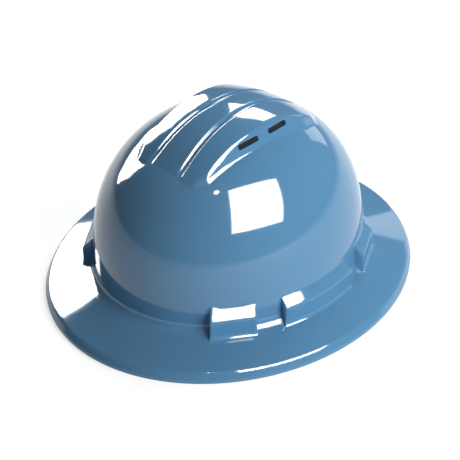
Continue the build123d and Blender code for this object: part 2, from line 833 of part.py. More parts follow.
def cushion_profile(inner, outer, bottom, top):
    """Section of a pad: flat at the back, crowned in front, drawn in at its edges."""
    middle = (bottom + top) / 2
    edge = (inner + outer) / 2
    lines = [
        Line((outer, bottom + pad_draw), (outer, top - pad_draw)),
        ThreePointArc((outer, top - pad_draw), (edge + pad_draw / 2, top - pad_draw / 4), (edge, top - pad_draw / 2)),
        ThreePointArc((edge, top - pad_draw / 2), (inner, middle), (edge, bottom + pad_draw / 2)),
        ThreePointArc((edge, bottom + pad_draw / 2), (edge + pad_draw / 2, bottom + pad_draw / 4),
                      (outer, bottom + pad_draw)),
    ]
    return upright(lines)


def make_brow_pad():
    """Sweat pad along the inside of the brow band."""
    outer = band_radius - fit_gap
    face = cushion_profile(outer - brow_pad_thickness, outer, band_bottom - brow_pad_overlap, band_top + brow_pad_overlap)
    pad = turned(face, 270 - brow_pad_half_angle, 2 * brow_pad_half_angle)
    return Pos(0, band_centre_y, 0) * scale(pad, by=(1, band_front_share, 1))


def make_nape_pad():
    """Pad in front of the ratchet housing."""
    outer = plate_inside - fit_gap
    face = cushion_profile(outer - nape_pad_thickness, outer, housing_bottom, housing_top)
    pad = turned(face, 90 - nape_pad_half_angle, 2 * nape_pad_half_angle)
    return Pos(0, band_centre_y, 0) * pad


def save(name, shape):
    export_step(shape, f"parts/{name}.step")


save("shell", make_shell())
for side in ("left", "right"):
    for end, boss_start in (("front", front_boss_from), ("rear", rear_boss_from)):
        key = make_key(boss_start)
        save(f"key_{end}_{side}", key if side == "left" else mirrored(key))
studs = []
for boss_start in (front_boss_from, rear_boss_from):
    stud = make_stud(boss_start)
    studs += [stud, mirrored(stud)]
save("height_studs", Compound(children=studs))
save("crown_strap_upper", make_strap(1, strap_top + strap_wall + strap_cross_gap))
save("crown_strap_lower", make_strap(-1, strap_top))
save("headband", make_headband())
save("brow_pad", make_brow_pad())
save("brow_pad_studs", make_pad_studs())
save("tail_left", make_tail(True))
save("tail_right", make_tail(False))
save("ratchet_pinion", make_pinion())
save("ratchet_plate", make_plate())
save("ratchet_cover", make_cover())
save("ratchet_knob", make_knob())
save("knob_grip", make_knob_grip())
save("click_spring", make_click_spring())
save("knob_screw", make_knob_screw())
save("cover_screws", make_cover_screws())
save("nape_pad", make_nape_pad())
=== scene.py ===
# %% [markdown]
# # A full brim hard hat
# The hat is a glossy blue moulded shell over a black ratchet suspension.
# We keep the exact solids of the suspension, give them finishes, and build the shell's skin,
# the straps and the pads as finer meshes around the same sizes.

# %% Load the frame
import json
import math

import bpy
import numpy as np
from mathutils import Matrix, Vector


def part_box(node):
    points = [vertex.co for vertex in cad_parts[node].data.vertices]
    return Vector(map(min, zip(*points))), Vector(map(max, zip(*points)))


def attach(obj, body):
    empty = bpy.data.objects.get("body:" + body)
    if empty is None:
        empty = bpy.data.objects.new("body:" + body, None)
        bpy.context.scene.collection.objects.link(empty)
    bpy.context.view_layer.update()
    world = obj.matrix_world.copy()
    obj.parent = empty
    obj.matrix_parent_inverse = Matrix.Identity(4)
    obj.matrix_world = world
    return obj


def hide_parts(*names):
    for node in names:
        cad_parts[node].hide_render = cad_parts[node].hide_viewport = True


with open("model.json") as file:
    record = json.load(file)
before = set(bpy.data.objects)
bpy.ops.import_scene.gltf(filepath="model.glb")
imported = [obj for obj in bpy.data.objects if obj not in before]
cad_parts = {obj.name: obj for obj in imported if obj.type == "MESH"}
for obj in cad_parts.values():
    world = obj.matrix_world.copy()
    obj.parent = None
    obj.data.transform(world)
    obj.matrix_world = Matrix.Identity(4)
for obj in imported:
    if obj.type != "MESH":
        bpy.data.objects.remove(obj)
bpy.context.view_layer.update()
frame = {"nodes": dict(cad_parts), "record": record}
MM = 0.001
NODES = frame["nodes"]

# %% [markdown]
# ## Numbers of the shell
# The plan is a circle stretched along Y, so every point is first placed by angle and radius,
# and only then made longer. All lengths here are in millimetres.

# %% Sizes of the shell
STRETCH = 1.127
BRIM_RADIUS = 146.0
CROWN_RADIUS = 106.9
DOME_HEIGHT = 118.8
HEIGHT_POWER = 2.39
WIDTH_POWER = 2.47
WALL = 2.6
SLOPE = math.radians(17.0)
ROLL = 7.0
LIP = 2.2
COVE = 9.0
BOSS_DEPTH = 7.0
BOSS_WALL = 1.9
CREASE_HEIGHT = 33.5
SKIRT_BOTTOM = 14.5
BOSSES = [(-50.3, -32.3), (22.5, 40.5), (-21.4, 12.6)]
POCKETS = [(-49.28, -33.32), (23.52, 39.48), (-12.4, 3.6)]
# The brim's slope ends in a tight bend, which draws the thin bright line round its edge.
BEAD_INSET, BEAD_FOOT, BEAD_BEND = 3.1, 0.6, 1.5
BOSS_EDGE, BOSS_FOOT_BEND, POCKET_EDGE, LIP_EDGE = 1.5, 4.0, 0.5, 0.5

ROLL_CENTRE = np.array([BRIM_RADIUS - ROLL, LIP])
SLOPE_END = ROLL_CENTRE + ROLL * np.array([math.sin(SLOPE), math.cos(SLOPE)])


def brim_height(radius):
    """Height of the brim's straight slope."""
    return SLOPE_END[1] + math.tan(SLOPE) * (SLOPE_END[0] - radius)


DOME_BASE = brim_height(CROWN_RADIUS) + COVE / math.tan((math.pi / 2 + SLOPE) / 2)
print("dome base at", round(DOME_BASE, 2), "mm")

# %% [markdown]
# ## Lines that make the shell's section
# The section is drawn once, as rows of points from the crown's top, over the brim and back
# up inside. Each stretch is resampled to even steps, because even quads shade smoothly and a
# glossy surface shows every bad one.


# %% Line helpers
def evenly(points, count):
    """The same line with its points at equal steps."""
    points = np.asarray(points, float)
    steps = np.hypot(*np.diff(points, axis=0).T)
    along = np.concatenate([[0], np.cumsum(steps)])
    want = np.linspace(0, along[-1], count)
    return np.stack([np.interp(want, along, points[:, i]) for i in range(2)], axis=1)


def stepped(points, fine, coarse, start, end):
    """The same line in fine steps between two radii and coarse steps elsewhere."""
    points = evenly(points, 4000)
    radius = points[:-1, 0]
    step = np.where((radius > start) & (radius < end), fine, coarse)
    number = np.concatenate([[0], np.cumsum(np.hypot(*np.diff(points, axis=0).T) / step)])
    want = np.linspace(0, number[-1], math.ceil(number[-1]) + 1)
    return np.stack([np.interp(want, number, points[:, i]) for i in range(2)], axis=1)


def arc(centre, radius, start, end, count=16):
    """Points of an arc, angles in degrees."""
    turn = np.radians(np.linspace(start, end, count))
    return np.stack([centre[0] + radius * np.cos(turn), centre[1] + radius * np.sin(turn)], axis=1)


def rounded(points, *radii):
    """A line whose inner corners are rounded, all by one radius or each by its own."""
    points = [np.asarray(p, float) for p in points]
    radii = radii * (len(points) - 2) if len(radii) == 1 else radii
    out = [points[0]]
    for before, corner, after, radius in zip(points, points[1:], points[2:], radii):
        a, b = before - corner, after - corner
        la, lb = np.linalg.norm(a), np.linalg.norm(b)
        cut = min(radius, la / 2, lb / 2)
        p, q = corner + a / la * cut, corner + b / lb * cut
        for s in np.linspace(0, 1, 6):
            out.append((1 - s) ** 2 * p + 2 * s * (1 - s) * corner + s * s * q)
    out.append(points[-1])
    return np.array(out)


def dome_side(radius, height, count):
    """The dome's side from its top down to its base."""
    turn = np.linspace(math.pi / 2, 0, 600)
    r = radius * np.clip(np.cos(turn), 0, 1) ** (2 / WIDTH_POWER)
    z = DOME_BASE + height * np.sin(turn) ** (2 / HEIGHT_POWER)
    r[0] = 0
    return evenly(np.stack([r, z], axis=1), count)


# %% [markdown]
# ## The section with and without a boss
# Round the crown's foot stand hollow bosses. Where a boss is, a stretch of the outer rows
# follows the boss, and a stretch of the inner rows folds up into its pocket. Both versions
# of a stretch have the same number of rows, so each column of the mesh can blend them.

# %% The rows
JOIN_HEIGHT = 42.0
JOIN_RADIUS = 119.0
FOOT_ROWS, BRIM_ROWS, INNER_FOOT_ROWS = 46, 60, 76
FINE_FROM, FINE_TO = 33.0, 76.0
OUTER_STEPS, INNER_STEPS = (0.4, 0.95), (1.0, 3.0)


def split_side(side):
    """A dome side cut where the boss begins."""
    above = side[side[:, 1] > JOIN_HEIGHT]
    below = side[side[:, 1] <= JOIN_HEIGHT]
    radius = np.interp(JOIN_HEIGHT, side[::-1, 1], side[::-1, 0])
    join = np.array([[radius, JOIN_HEIGHT]])
    return np.vstack([above, join]), np.vstack([join, below])


cove_end = 270 - math.degrees(SLOPE)
cove_centre = (CROWN_RADIUS + COVE, DOME_BASE)
outer_high, outer_low = split_side(dome_side(CROWN_RADIUS, DOME_HEIGHT, 900))
inner_high, inner_low = split_side(dome_side(CROWN_RADIUS - WALL, DOME_HEIGHT - WALL, 900))
brim_join = np.array([[JOIN_RADIUS, brim_height(JOIN_RADIUS)]])
under = WALL / math.cos(SLOPE)
under_join = np.array([[JOIN_RADIUS, brim_height(JOIN_RADIUS) - under]])

cove_arc = arc(cove_centre, COVE, 180, cove_end)
foot_plain = evenly(np.vstack([outer_low, cove_arc, brim_join]), FOOT_ROWS)
boss_out = CROWN_RADIUS + BOSS_DEPTH
foot_boss = evenly(rounded([
    outer_low[0],
    (CROWN_RADIUS - 0.3, CREASE_HEIGHT + BOSS_DEPTH + 0.3),
    (boss_out, CREASE_HEIGHT),
    (boss_out, brim_height(boss_out)),
    brim_join[0],
], BOSS_EDGE, BOSS_EDGE, BOSS_FOOT_BEND), FOOT_ROWS)

inner_cove_arc = arc(cove_centre, COVE + WALL, cove_end, 180)
inner_foot_plain = evenly(np.vstack([under_join, inner_cove_arc, inner_low[::-1]]), INNER_FOOT_ROWS)
pocket_out = boss_out - BOSS_WALL
pocket_top = CREASE_HEIGHT - BOSS_WALL
skirt_in = CROWN_RADIUS - WALL
inner_foot_pocket = evenly(rounded([
    under_join[0],
    (pocket_out, brim_height(pocket_out) - under),
    (pocket_out, pocket_top),
    (CROWN_RADIUS, pocket_top),
    (CROWN_RADIUS, SKIRT_BOTTOM),
    (skirt_in, SKIRT_BOTTOM),
    (skirt_in, DOME_BASE),
    inner_low[0],
], POCKET_EDGE), INNER_FOOT_ROWS)

edge_in = BRIM_RADIUS - WALL
bead_radius = BRIM_RADIUS - BEAD_INSET
brim = evenly(rounded([
    brim_join[0],
    (bead_radius, brim_height(bead_radius)),
    (BRIM_RADIUS, LIP + BEAD_FOOT),
    (BRIM_RADIUS, LIP),
], BEAD_BEND), BRIM_ROWS)
lip = rounded([brim[-1], (BRIM_RADIUS, 0), (edge_in, 0), (edge_in, LIP)], LIP_EDGE)
brim_under = evenly(np.vstack([
    arc(ROLL_CENTRE, ROLL - WALL, 0, 90 - math.degrees(SLOPE)),
    under_join,
]), BRIM_ROWS)
crown = stepped(outer_high, *OUTER_STEPS, FINE_FROM, FINE_TO)
inner_crown = stepped(inner_high[::-1], *INNER_STEPS, FINE_FROM, FINE_TO)

between = [brim[1:], lip[1:], brim_under[1:]]


def whole_section(foot, inner_foot):
    """The whole section with that outer foot and that inner foot."""
    return np.vstack([crown[1:], foot[1:], *between, inner_foot[1:], inner_crown[1:-1]])


plain = whole_section(foot_plain, inner_foot_plain)
bossed = whole_section(foot_boss, inner_foot_pocket)
foot_start = len(crown) - 1
foot_end = foot_start + FOOT_ROWS - 1
inner_start = foot_end + sum(len(part) for part in between)
inner_end = inner_start + INNER_FOOT_ROWS - 1
print("section rows", len(plain))

# %% [markdown]
# ## Columns
# Half a degree apart is even enough for the crown. Near the side walls of the bosses and
# pockets the columns crowd together, so the walls stay upright and their corners round.


# %% Column angles and masks
def both_sides(spans):
    """Spans at +X and their mirror images at -X."""
    return spans + [(180 - b, 180 - a) for a, b in spans]


def degrees_of(length):
    """The angle that a length takes on the crown."""
    return math.degrees(length / CROWN_RADIUS)


COLUMN_STEP, LEAST_STEP = 0.5, 0.02
BOSS_OFFSETS = (-0.5, -0.15, 0.15, 0.4, 0.8, 1.4, 2.1)
POCKET_OFFSETS = (-0.3, -0.1, 0.1, 0.3)
angles = list(np.arange(0, 360, COLUMN_STEP))
for spans, offsets in ((BOSSES, BOSS_OFFSETS), (POCKETS, POCKET_OFFSETS)):
    for first, last in both_sides(spans):
        for offset in offsets:
            angles += [(first + degrees_of(offset)) % 360, (last - degrees_of(offset)) % 360]
angles = np.array(sorted(angles))
angles = angles[np.concatenate([[True], np.diff(angles) > LEAST_STEP])]
BOSS_CORNER = 2.0


def inside(spans, corner):
    """0 outside the spans and 1 inside, with a rounded corner of that radius."""
    mask = np.zeros(len(angles))
    for first, last in both_sides(spans):
        middle, half = (first + last) / 2, (last - first) / 2
        away = np.abs((angles - middle + 180) % 360 - 180)
        depth = np.radians(half - away) * CROWN_RADIUS
        if corner:
            bend = np.clip(depth, 0, corner)
            value = 1 - (corner - np.sqrt(corner**2 - (corner - bend) ** 2)) / BOSS_DEPTH
            value = value * np.clip((depth + 0.15) / 0.3, 0, 1)
        else:
            value = np.clip((depth + 0.1) / 0.2, 0, 1)
        mask = np.maximum(mask, value)
    return mask


boss_mask = inside(BOSSES, BOSS_CORNER)
pocket_mask = inside(POCKETS, 0)
rows = np.repeat(plain[:, None, :], len(angles), axis=1)
for start, end, mask in ((foot_start, foot_end, boss_mask), (inner_start, inner_end, pocket_mask)):
    part = slice(start, end)
    rows[part] += (bossed - plain)[part, None, :] * mask[None, :, None]
turn = np.radians(angles)
points = np.stack([
    rows[:, :, 0] * np.cos(turn),
    rows[:, :, 0] * np.sin(turn) * STRETCH,
    rows[:, :, 1],
], axis=2)
print("grid", points.shape)

# %% [markdown]
# ## Flat key bosses
# The four key bosses have a flat face and a flat sloping top, while the rows above follow the
# crown's curve. We move each column out or in until its face lies on a plane, and lift the
# top's upper edge so that the top is a plane as well.

# %% Flatten the key bosses
FACE_SINK, LIFT_FADE = 0.3, 1.2
FRONT_FACING, REAR_FACING = -36.0, 28.5


def flatten_boss(first, last, facing):
    """Give one key boss a flat face that looks that way, and a flat top."""
    middle = math.radians((first + last) / 2)
    away = np.abs((angles - math.degrees(middle) + 180) % 360 - 180)
    near = np.where(away < (last - first) / 2 + 0.2)[0]
    out = np.array([math.cos(math.radians(facing)), math.sin(math.radians(facing))])

    def reach(radius, turns):
        return radius * (np.cos(turns) * out[0] + np.sin(turns) * STRETCH * out[1])

    face = reach(boss_out, middle) - FACE_SINK
    shift = boss_out * (face / reach(boss_out, turn[near]) - 1)
    drop = face - reach(CROWN_RADIUS, turn[near])
    lift = BOSS_DEPTH * (drop / (face - reach(CROWN_RADIUS, middle)) - 1)
    profile = bossed[foot_start:foot_end]
    radius, height = profile[:, :1], profile[:, 1:]
    share = np.interp(radius, [CROWN_RADIUS, boss_out, JOIN_RADIUS], [0, 1, 0])
    fade = np.clip((JOIN_HEIGHT - height) / LIFT_FADE, 0, 1)
    on_top = (height > CREASE_HEIGHT - 0.5) * fade * (1 - share)
    on_brim = (radius > boss_out + 0.1) * share
    mask = boss_mask[near][None, :]
    block = points[foot_start:foot_end, near]
    wider = 1 + share * shift[None, :] * mask / radius
    block[:, :, 0] *= wider
    block[:, :, 1] *= wider
    block[:, :, 2] += (on_top * lift[None, :] - on_brim * shift[None, :] * math.tan(SLOPE)) * mask
    points[foot_start:foot_end, near] = block


for (first, last), facing in zip(BOSSES[:2], (FRONT_FACING, REAR_FACING)):
    flatten_boss(first, last, facing)
    flatten_boss(180 - last, 180 - first, 180 - facing)
print("key bosses flattened")

# %% [markdown]
# ## Ridges
# Three broad ridges with narrow valleys between them stand on the crown. Together they are a
# block with sloping sides under one long curved top line, and they fade into the dome at both
# ends. We work out the height of each of those surfaces over every point of the plan, and
# blend them with soft minimum and maximum, which rounds crest and foot the way a mould does.

# %% Sizes of the ridges
RIDGE_TOP, RIDGE_FOOT, RIDGE_CENTRE_Y, RIDGE_REACH = 156.0, 60.0, 1.0, 114.0
RIDGE_LENGTH_POWER, RIDGE_HEIGHT_POWER = 2.2, 1.4
FLANK_LEAN = math.radians(26.0)
BLOCK_FLOOR, DRAFT = 105.0, math.tan(FLANK_LEAN)
VALLEY_FROM, VALLEY_TO, VALLEY_TAPER, VALLEY_REACH = 10.0, 14.0, 4.5, 84.0
VALLEY_DEPTH, VALLEY_WALL, VALLEY_FLANK = 1.8, 2.4, 0.9
CORNER_SOFT, CREST_SOFT, FOOT_SOFT = 1.2, 2.6, 1.8
OUTER_FACE, INNER_FACE = (0.0, 0.0, True), (VALLEY_DEPTH + VALLEY_WALL, 2.9, False)
OUTLINE = [(24, -72), (31, -71), (38, -62), (40, -48), (41.3, -32), (43.3, -12), (44, 7), (45, 32),
           (44.5, 50), (40, 66), (30, 76)]


# %% [markdown]
# ### Heights over the plan
# A plain minimum or maximum of two heights leaves a hard crease. The soft versions take off
# or add a small parabola within a few millimetres of it. The dome, the block's sides and the
# top line are each a height over the same plan, so they blend point by point.

# %% Height functions
def soft_min(a, b, k):
    """The lower of two heights, with the crease between them rounded."""
    return np.minimum(a, b) - np.clip(k - np.abs(a - b), 0, None) ** 2 / (4 * k)


def soft_max(a, b, k):
    """The higher of two heights, with the crease between them rounded."""
    return -soft_min(-a, -b, k)


def smooth(low, high, value):
    """An eased step from 0 to 1."""
    s = np.clip((value - low) / (high - low), 0, 1)
    return s * s * (3 - 2 * s)


def dome_height_at(x, y):
    """The outer dome's height over the unstretched plan."""
    share = np.clip(1 - (np.hypot(x, y) / CROWN_RADIUS) ** WIDTH_POWER, 0, 1)
    return DOME_BASE + DOME_HEIGHT * share ** (1 / HEIGHT_POWER)


def block_sides(x, y, inset):
    """Height of the block's sloping sides over the unstretched plan."""
    foot = [(fx, fy / STRETCH) for fx, fy in OUTLINE]
    foot = np.array(foot + [(-fx, fy) for fx, fy in foot[::-1]])
    along = np.roll(foot, -1, axis=0) - np.roll(foot, 1, axis=0)
    out = np.stack([along[:, 1], -along[:, 0]], axis=1)
    out /= np.linalg.norm(out, axis=1, keepdims=True)
    spread = (dome_height_at(foot[:, 0], foot[:, 1]) - BLOCK_FLOOR) * DRAFT - inset
    base = foot + out * spread[:, None]
    heights = None
    for here, after in zip(base, np.roll(base, -1, axis=0)):
        edge = (after - here) / np.linalg.norm(after - here)
        inward = edge[0] * (y - here[1]) - edge[1] * (x - here[0])
        side = BLOCK_FLOOR + inward / DRAFT
        heights = side if heights is None else soft_min(heights, side, CORNER_SOFT)
    return heights


def top_line(y):
    """Height of the ridges' top line along the hat."""
    share = np.clip(1 - np.abs((y - RIDGE_CENTRE_Y) / RIDGE_REACH) ** RIDGE_LENGTH_POWER, 0, 1)
    return RIDGE_FOOT + (RIDGE_TOP - RIDGE_FOOT) * share ** (1 / RIDGE_HEIGHT_POWER)


def raised(x, y, z, sink, inset, valleys):
    """Height of a face of the crown where the ridges lift it."""
    top = np.sqrt(np.clip((top_line(y) - sink) ** 2 - x**2, 0, None))
    if valleys:
        away = np.abs(x) - VALLEY_TAPER * np.clip(-y / VALLEY_REACH, 0, 1)
        dip = smooth(VALLEY_FROM - VALLEY_FLANK, VALLEY_FROM + VALLEY_FLANK, away)
        dip = dip * (1 - smooth(VALLEY_TO - VALLEY_FLANK, VALLEY_TO + VALLEY_FLANK, away))
        top = top - VALLEY_DEPTH * dip
    block = soft_min(top, block_sides(x, y / STRETCH, inset), CREST_SOFT)
    return np.where(z > BLOCK_FLOOR - 2.0, soft_max(z, block, FOOT_SOFT), z)


# %% [markdown]
# ### Outer and inner face
# The same function lifts both faces of the crown. The inner face lies deeper by the valleys'
# depth and a wall, and has no valleys of its own, so the moulding stays thick enough.

# %% Lift the crown's faces
for part, face in ((slice(0, foot_start), OUTER_FACE), (slice(inner_end, None), INNER_FACE)):
    points[part, :, 2] = raised(*np.moveaxis(points[part], 2, 0), *face)
middle = np.zeros(1)
dome_top = middle + DOME_BASE + DOME_HEIGHT
top_z = float(raised(middle, middle, dome_top, *OUTER_FACE)[0])
inner_top_z = float(raised(middle, middle, dome_top - WALL, *INNER_FACE)[0])
print("crown top at", round(top_z, 2), "inside at", round(inner_top_z, 2))

# %% [markdown]
# ## From numbers to a mesh
# One helper turns vertices and faces into an object with smooth shading, and one closes a
# grid of rows into a skin.


# %% Mesh helpers
def make_object(name, vertices, faces, smooth_shading=True):
    """A mesh object from vertices in millimetres."""
    mesh = bpy.data.meshes.new(name)
    mesh.from_pydata((np.asarray(vertices) * MM).tolist(), [], faces)
    mesh.update()
    mesh.shade_smooth() if smooth_shading else mesh.shade_flat()
    obj = bpy.data.objects.new(name, mesh)
    bpy.context.collection.objects.link(obj)
    return obj


def grid_faces(row_count, column_count, wrap_columns, wrap_rows=False):
    """Quads between the points of a grid."""
    r = np.arange(row_count if wrap_rows else row_count - 1)
    c = np.arange(column_count if wrap_columns else column_count - 1)
    r, c = np.meshgrid(r, c, indexing="ij")
    r2, c2 = (r + 1) % row_count, (c + 1) % column_count
    corners = [row * column_count + column for row, column in ((r, c), (r2, c), (r2, c2), (r, c2))]
    return np.stack(corners, axis=-1).reshape(-1, 4).tolist()


def apply_modifiers(obj):
    """The object's mesh with its modifiers worked in."""
    graph = bpy.context.evaluated_depsgraph_get()
    mesh = bpy.data.meshes.new_from_object(obj.evaluated_get(graph))
    old = obj.data
    obj.modifiers.clear()
    obj.data = mesh
    bpy.data.meshes.remove(old)


# %% [markdown]
# ### One closed skin
# Every row is a ring round the hat, so the rows from the top to the inside top make one
# closed skin once a fan of triangles closes each end.

# %% The shell's skin
row_count, column_count = points.shape[:2]
vertices = points.reshape(-1, 3)
vertices = np.vstack([vertices, [[0, 0, top_z]], [[0, 0, inner_top_z]]])
faces = grid_faces(row_count, column_count, True)
last = (row_count - 1) * column_count
for c in range(column_count):
    nxt = (c + 1) % column_count
    faces.append([row_count * column_count, c, nxt])
    faces.append([row_count * column_count + 1, last + nxt, last + c])
shell = make_object("shell_skin", vertices, faces)
print("shell skin", len(vertices), "vertices")

# %% [markdown]
# ## Vents
# Two slots pass through the outer side of each outer ridge, square to it. A cutter with
# rounded ends is made once, placed four times, and taken away from the skin, which leaves
# the true wall thickness in view.

# %% Cut the vents
VENT_HEIGHT, VENT_LENGTH, VENT_CORNER, VENT_DEPTH = 4.4, 20.5, 1.4, 7.0
VENT_X, VENT_Z, VENT_YS = 40.2, 145.8, (-15.8, 16.2)
SHARP_ANGLE = math.radians(50)
corner_points = []
for cx, cy, start in ((1, 1, 0), (-1, 1, 90), (-1, -1, 180), (1, -1, 270)):
    centre = (cx * (VENT_LENGTH / 2 - VENT_CORNER), cy * (VENT_HEIGHT / 2 - VENT_CORNER))
    corner_points += arc(centre, VENT_CORNER, start, start + 90, 6).tolist()
cutter_vertices, cutter_faces = [], []
for side in (-1, 1):
    for y in VENT_YS:
        first, n = len(cutter_vertices), len(corner_points)
        for depth in (-VENT_DEPTH, VENT_DEPTH):
            for along_y, up_side in corner_points:
                out = depth * math.cos(FLANK_LEAN) - up_side * math.sin(FLANK_LEAN)
                rise = depth * math.sin(FLANK_LEAN) + up_side * math.cos(FLANK_LEAN)
                cutter_vertices.append((side * (VENT_X + out), y + along_y, VENT_Z + rise))
        ends = [list(range(first, first + n)), list(range(first + n, first + 2 * n))]
        walls = [[first + a, first + b, first + n + b, first + n + a]
                 for a, b in zip(range(n), [*range(1, n), 0])]
        made = [ends[0][::-1], ends[1]] + walls
        cutter_faces += made if side > 0 else [face[::-1] for face in made]
cutter = make_object("vent_cutter", cutter_vertices, cutter_faces, False)
cut = shell.modifiers.new("vents", "BOOLEAN")
cut.operation, cut.solver, cut.object = "DIFFERENCE", "EXACT", cutter
apply_modifiers(shell)
bpy.data.objects.remove(cutter)
shell.data.set_sharp_from_angle(angle=SHARP_ANGLE)
print("shell with vents", len(shell.data.vertices), "vertices")
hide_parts("shell")
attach(shell, "shell")

# %% [markdown]
# ## Straps
# The crown straps are flat polyester webbing, woven with a rib along each edge. Each runs
# as an arch from a front key to the opposite rear key and closes in a loop round the key's
# bar. We sweep a thin section along that path, which gives the weave coordinates to follow.

# %% Numbers of the suspension
BAND_RADIUS, BAND_CENTRE_Y, BAND_SHARE = 82.0, 14.0, 1.35
STRAP_WIDTH, STRAP_WALL, STRAP_POWER = 19.0, 1.4, 2.1
BAR_IN, BAR_HEIGHT, BAR_RADIUS, LOOP_GAP = 8.5, 40.0, 1.8, 0.3
STRAP_TOPS = {"crown_strap_upper": 110.3, "crown_strap_lower": 108.0}
LOOP_TURN, STRAP_ROWS, HALF_COLUMNS = 345, 420, 21
# Across the strap, as shares of half its width: a flat middle, a raised rib, a thin rim.
FLAT_SHARE, RIB_SHARE, RIM_DROP = 0.82, 0.18, 0.45
RIB_FROM, RIB_TO, RIM_FROM = 0.72, 0.86, 0.93


def wall_point(boss):
    """Point of the crown's inner wall behind the middle of a key's boss."""
    angle = math.radians(sum(boss) / 2)
    return np.array([skirt_in * math.cos(angle), skirt_in * math.sin(angle) * STRETCH])


front_wall, rear_wall = wall_point(BOSSES[0]), wall_point(BOSSES[1])
along = front_wall[0] / (front_wall[0] + rear_wall[0])
CROSSING_Y = front_wall[1] + (rear_wall[1] - front_wall[1]) * along
print("straps cross at y", round(CROSSING_Y, 2))


def arch_side(span, drop, outwards, count=40):
    """Middle line of one side of an arch."""
    turn = np.linspace(0, math.pi / 2, count)
    reach = outwards * span * np.sin(turn) ** (2 / STRAP_POWER)
    height = -drop * (1 - np.clip(np.cos(turn), 0, 1) ** (2 / STRAP_POWER))
    return np.stack([reach, height], axis=1)


def strap_path(top):
    """Middle line of a strap from the front loop's end to the rear loop's end."""
    spans = [math.hypot(w[0], w[1] - CROSSING_Y) - BAR_IN for w in (front_wall, rear_wall)]
    ring = BAR_RADIUS + LOOP_GAP + STRAP_WALL / 2
    drop = top - BAR_HEIGHT
    sides = []
    for span, outwards in zip(spans, (1, -1)):
        side = arch_side(span - ring, drop - STRAP_WALL / 2, outwards)
        side[:, 1] -= STRAP_WALL / 2
        start = 180 if outwards > 0 else 0
        loop = arc((outwards * span, -drop), ring, start, start + outwards * LOOP_TURN, 30)
        sides.append(np.vstack([side, loop[1:]]))
    return np.vstack([sides[1][::-1], sides[0][1:]])


def make_strap(name, sign):
    """A strap swept along its path, with weave coordinates in millimetres."""
    path = evenly(strap_path(STRAP_TOPS[name]), STRAP_ROWS)
    tangent = np.gradient(path, axis=0)
    tangent /= np.linalg.norm(tangent, axis=1, keepdims=True)
    across = np.stack([-tangent[:, 1], tangent[:, 0]], axis=1)
    half, thick = STRAP_WIDTH / 2, STRAP_WALL / 2
    section = []
    for w in np.linspace(-1, 1, HALF_COLUMNS):
        rise = FLAT_SHARE + RIB_SHARE * smooth(RIB_FROM, RIB_TO, abs(w))
        section.append((w * half, thick * (rise - RIM_DROP * smooth(RIM_FROM, 1.0, abs(w)))))
    section += [(w, -t) for w, t in reversed(section)]
    section = np.array(section)
    facing = math.atan2(front_wall[1] - CROSSING_Y, front_wall[0])
    ux, uy = math.cos(facing), math.sin(facing)
    verts = []
    for (u, z), (nu, nz) in zip(path, across):
        for w, t in section:
            s, h = u + nu * t, z + nz * t
            x, y = s * ux - w * uy, s * uy + w * ux
            verts.append((sign * x, CROSSING_Y + y, STRAP_TOPS[name] + h))
    n = len(section)
    faces = grid_faces(len(path), n, True)
    faces += [list(range(n))[::-1], [(len(path) - 1) * n + i for i in range(n)]]
    if sign > 0:
        faces = [face[::-1] for face in faces]
    strap = make_object(name + "_webbing", verts, faces)
    layer = strap.data.uv_layers.new(name="weave")
    step = np.concatenate([[0], np.cumsum(np.linalg.norm(np.diff(path, axis=0), axis=1))])
    for loop in strap.data.loops:
        row, column = divmod(loop.vertex_index, n)
        layer.data[loop.index].uv = (section[column][0], step[row])
    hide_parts(name)
    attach(strap, "suspension")
    return strap


straps = [make_strap("crown_strap_upper", 1), make_strap("crown_strap_lower", -1)]
print("straps", [len(s.data.vertices) for s in straps])

# %% [markdown]
# ## Pads
# The brow pad and the nape pad are foam in knitted cloth. Their back is flat against the
# band, their face is crowned and drawn down along stitched channels. We sweep a rounded
# section along the band and lower it near each seam.

# %% Make the pads
PAD_GAP, PLATE_INSIDE, CORNER_DRAW = 0.3, 77.5, 4.0
SECTION_POINTS, COLUMNS_PER_DEGREE = 48, 2.2
SEAM_DEPTH, SEAM_WIDTH, EDGE_DEPTH, EDGE_FROM = 0.45, 2.2, 0.35, 0.78
END_FROM, LEAST_END = 0.93, 0.25


